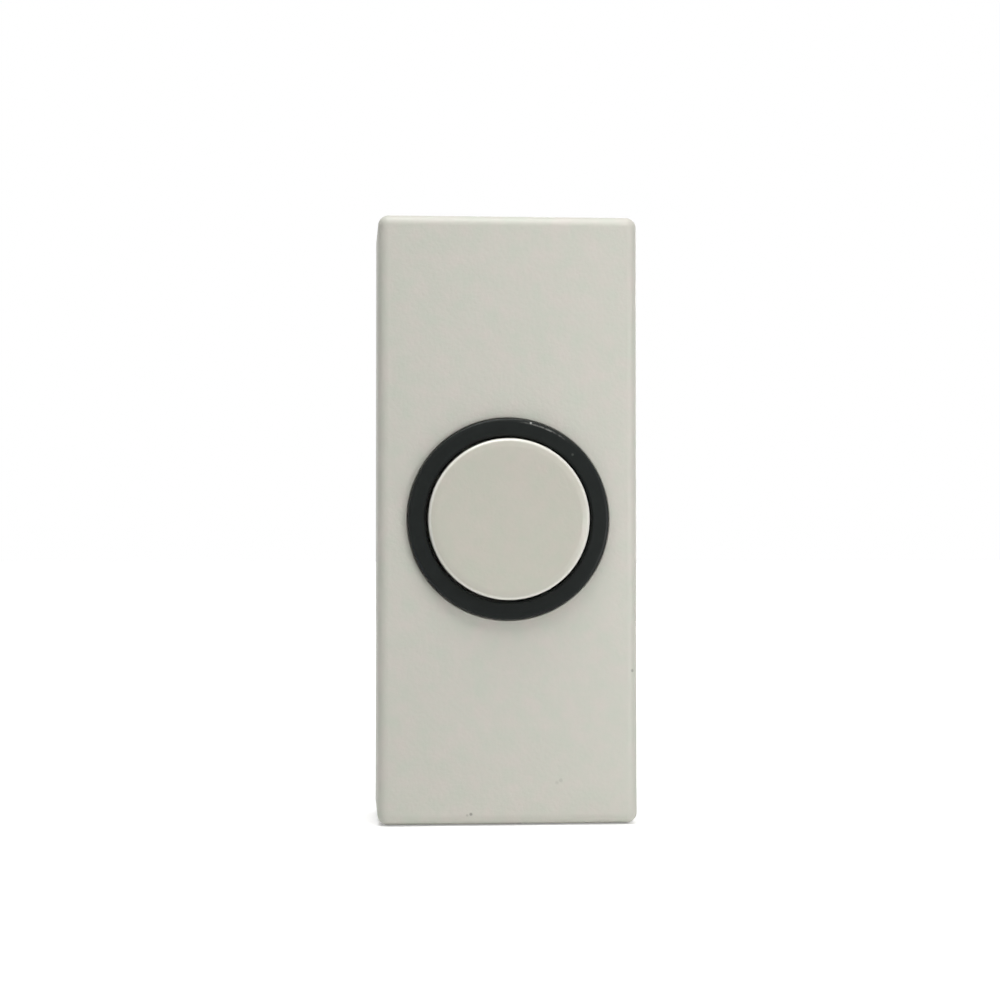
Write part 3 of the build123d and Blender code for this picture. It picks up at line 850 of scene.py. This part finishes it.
    def shank(self, middle, tip, neck, root, settings):
        """A threaded shank: one pitch of its outline, wound round the axis and cut to length."""
        pitch = settings.thread_pitch
        crest = settings.thread_radius
        turns = int((neck - tip) / pitch) + self.spare_turns
        start = tip - self.early_turns * pitch
        bpy.ops.object.select_all(action="DESELECT")
        bpy.ops.mesh.primitive_circle_add(vertices=4, radius=pitch, fill_type="NOTHING")
        shank = bpy.context.object
        rising, falling = self.thread_flat
        outline = ((root, 0.0), (crest, rising), (crest, falling), (root, 1.0))
        for vertex, (radius, share) in zip(shank.data.vertices, outline):
            vertex.co = (radius, -pitch * share, 0)
        for edge in shank.data.edges:
            edge.select = set(edge.vertices) == {0, 3}
        for vertex in shank.data.vertices:
            vertex.select = False
        bpy.ops.object.mode_set(mode="EDIT")
        bpy.ops.mesh.select_mode(type="EDGE")
        bpy.ops.mesh.delete(type="EDGE_FACE")
        bpy.ops.mesh.select_mode(type="VERT")
        bpy.ops.object.mode_set(mode="OBJECT")
        apply_modifier(
            shank, "SCREW", axis="Y", angle=tau, screw_offset=-pitch, iterations=turns,
            steps=self.screw_sides, render_steps=self.screw_sides)
        shank.location = (middle.x, -start, middle.z)
        bpy.ops.object.transform_apply(location=True)
        close_up(shank)
        for depth, side in ((tip, 1), (neck, -1)):
            edit_all(shank)
            bpy.ops.mesh.bisect(
                plane_co=(0, -depth, 0), plane_no=(0, side, 0), use_fill=True, clear_outer=True,
                threshold=ON_CUT)
            bpy.ops.object.mode_set(mode="OBJECT")
        for vertex in shank.data.vertices:
            out = Vector((vertex.co.x - middle.x, 0, vertex.co.z - middle.z))
            allowed = root + (-vertex.co.y - tip)
            if out.length > allowed:
                shorter = out * (allowed / out.length)
                vertex.co.x, vertex.co.z = middle.x + shorter.x, middle.z + shorter.z
        close_up(shank)
        return shank


class EXITBUTTON_OT_stage(bpy.types.Operator):
    """Set up the camera, the pale floor and the soft light"""

    bl_idname = "exit_button.stage"
    bl_label = "Set the stage"

    sensor = 36.0                # the camera's sensor width, in millimetres
    outline_depth = 1.2 * MM     # how far behind its front the case is as wide as it looks
    floor_size = 6.0
    floor_level = 0.9            # the grey level and the roughness of the floor
    # The floor's glow to the eye, near the object and far off, and where each of them starts
    glow = (0.3, 1.0)
    glow_reach = (0.08, 0.45)
    # Each light's power setting, size and place
    lights = {
        "high_light": ("high_power", 0.30, (-0.05, -0.12, 0.46)),
        "near_light": ("near_power", 0.06, (0.04, -0.10, 0.10)),
        "low_light": ("low_power", 0.05, (0.08, -0.12, -0.009)),
        "back_light": ("back_power", 0.40, (0.20, 0.50, 0.10)),
    }

    def execute(self, context):
        settings = context.scene.exit_button_stage
        low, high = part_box("front_cover")
        self.camera(context, settings, low, high)
        self.floor(low.z)
        self.world(context, settings)
        for name, (power, size, place) in self.lights.items():
            self.light(name, getattr(settings, power), size, Vector(place))
        context.scene.view_settings.view_transform = "Standard"
        return {"FINISHED"}

    def camera(self, context, settings, low, high):
        """Stand in front of the case and frame it as the photograph does."""
        height = high.z - low.z
        pixel = height / settings.case_pixels
        distance = pixel * PHOTO_WIDTH * settings.lens / self.sensor
        half = PHOTO_WIDTH / 2
        towards = Vector((
            -sin(settings.from_left) * cos(settings.from_below),
            -cos(settings.from_left) * cos(settings.from_below), -sin(settings.from_below)))
        turn = towards.to_track_quat("Z", "Y")
        aside = Vector((
            (half - CASE_MIDDLE[0]) * pixel, (CASE_MIDDLE[1] - half) * pixel, distance))
        place = Vector((0, low.y + self.outline_depth, 0)) + turn @ aside
        bpy.ops.object.camera_add(location=place, rotation=turn.to_euler())
        camera = context.object
        camera.name = "camera"
        camera.data.lens = settings.lens
        camera.data.sensor_width = self.sensor
        context.scene.camera = camera

    def floor(self, height):
        """A pale floor that stays white to the camera but keeps the object's shadow."""
        bpy.ops.mesh.primitive_plane_add(size=self.floor_size, location=(0, 0, height))
        floor = bpy.context.object
        floor.name = "floor"
        bpy.ops.object.transform_apply(location=True)
        finish = Finish("pale_floor", [self.floor_level] * 3, self.floor_level)
        finish.shader.inputs["Emission Color"].default_value = (1, 1, 1, 1)
        away = finish.add("ShaderNodeVectorMath", operation="LENGTH")
        finish.join(finish.place, "Object", away, 0)
        glow = finish.ranged(away, "Value", *self.glow, *self.glow_reach)
        strength = finish.calculated("MULTIPLY", glow, "Result")
        finish.tree.links.new(seen(finish.tree), strength.inputs[1])
        finish.join(strength, "Value", finish.shader, "Emission Strength")
        floor.data.materials.append(finish.material)

    def world(self, context, settings):
        """White all round to the eye, and a gentler light on the object."""
        world = bpy.data.worlds.new("surroundings")
        world.use_nodes = True
        context.scene.world = world
        tree = world.node_tree
        tree.nodes.clear()
        output = tree.nodes.new("ShaderNodeOutputWorld")
        background = tree.nodes.new("ShaderNodeBackground")
        background.inputs["Color"].default_value = (1, 1, 1, 1)
        span = tree.nodes.new("ShaderNodeMapRange")
        span.inputs["To Min"].default_value = settings.ambient
        span.inputs["To Max"].default_value = 1.0
        tree.links.new(seen(tree), span.inputs["Value"])
        tree.links.new(span.outputs["Result"], background.inputs["Strength"])
        tree.links.new(background.outputs["Background"], output.inputs["Surface"])

    def light(self, name, power, size, place):
        """A square soft light that faces the object."""
        bpy.ops.object.light_add(type="AREA", location=place)
        lamp = bpy.context.object
        lamp.name = name
        lamp.data.energy = power
        lamp.data.size = size
        lamp.visible_camera = False
        lamp.rotation_euler = place.to_track_quat("Z", "Y").to_euler()


class EXITBUTTON_PT_panel(bpy.types.Panel):
    """Lists the steps and the settings"""

    bl_idname = "EXITBUTTON_PT_panel"
    bl_label = "Door exit button"
    bl_space_type = "VIEW_3D"
    bl_region_type = "UI"
    bl_category = "Exit button"

    def draw(self, context):
        for step in STEPS:
            self.layout.operator(step.bl_idname)
        for name in SETTINGS:
            group = getattr(context.scene, name)
            box = self.layout.box()
            for key in group.__annotations__:
                box.prop(group, key)


STEPS = (
    EXITBUTTON_OT_case,
    EXITBUTTON_OT_ring,
    EXITBUTTON_OT_cap,
    EXITBUTTON_OT_plate,
    EXITBUTTON_OT_spring,
    EXITBUTTON_OT_leaf,
    EXITBUTTON_OT_contacts,
    EXITBUTTON_OT_fixings,
    EXITBUTTON_OT_stage,
)
SETTINGS = {
    "exit_button_case": CaseSettings,
    "exit_button_ring": RingSettings,
    "exit_button_cap": CapSettings,
    "exit_button_spring": SpringSettings,
    "exit_button_leaf": LeafSettings,
    "exit_button_fixings": FixingSettings,
    "exit_button_stage": StageSettings,
}


def register():
    """Register the settings, the steps and the panel."""
    for name, group in SETTINGS.items():
        bpy.utils.register_class(group)
        setattr(bpy.types.Scene, name, PointerProperty(type=group))
    for step in STEPS:
        bpy.utils.register_class(step)
    bpy.utils.register_class(EXITBUTTON_PT_panel)


def unregister():
    """Take the panel, the steps and the settings away again."""
    bpy.utils.unregister_class(EXITBUTTON_PT_panel)
    for step in reversed(STEPS):
        bpy.utils.unregister_class(step)
    for name, group in SETTINGS.items():
        delattr(bpy.types.Scene, name)
        bpy.utils.unregister_class(group)


def main():
    """Dress the model and set the stage."""
    register()
    bpy.ops.exit_button.case()
    bpy.ops.exit_button.ring()
    bpy.ops.exit_button.cap()
    bpy.ops.exit_button.plate()
    bpy.ops.exit_button.spring()
    bpy.ops.exit_button.leaf()
    bpy.ops.exit_button.contacts()
    bpy.ops.exit_button.fixings()
    bpy.ops.exit_button.stage()


if __name__ == "__main__":
    main()
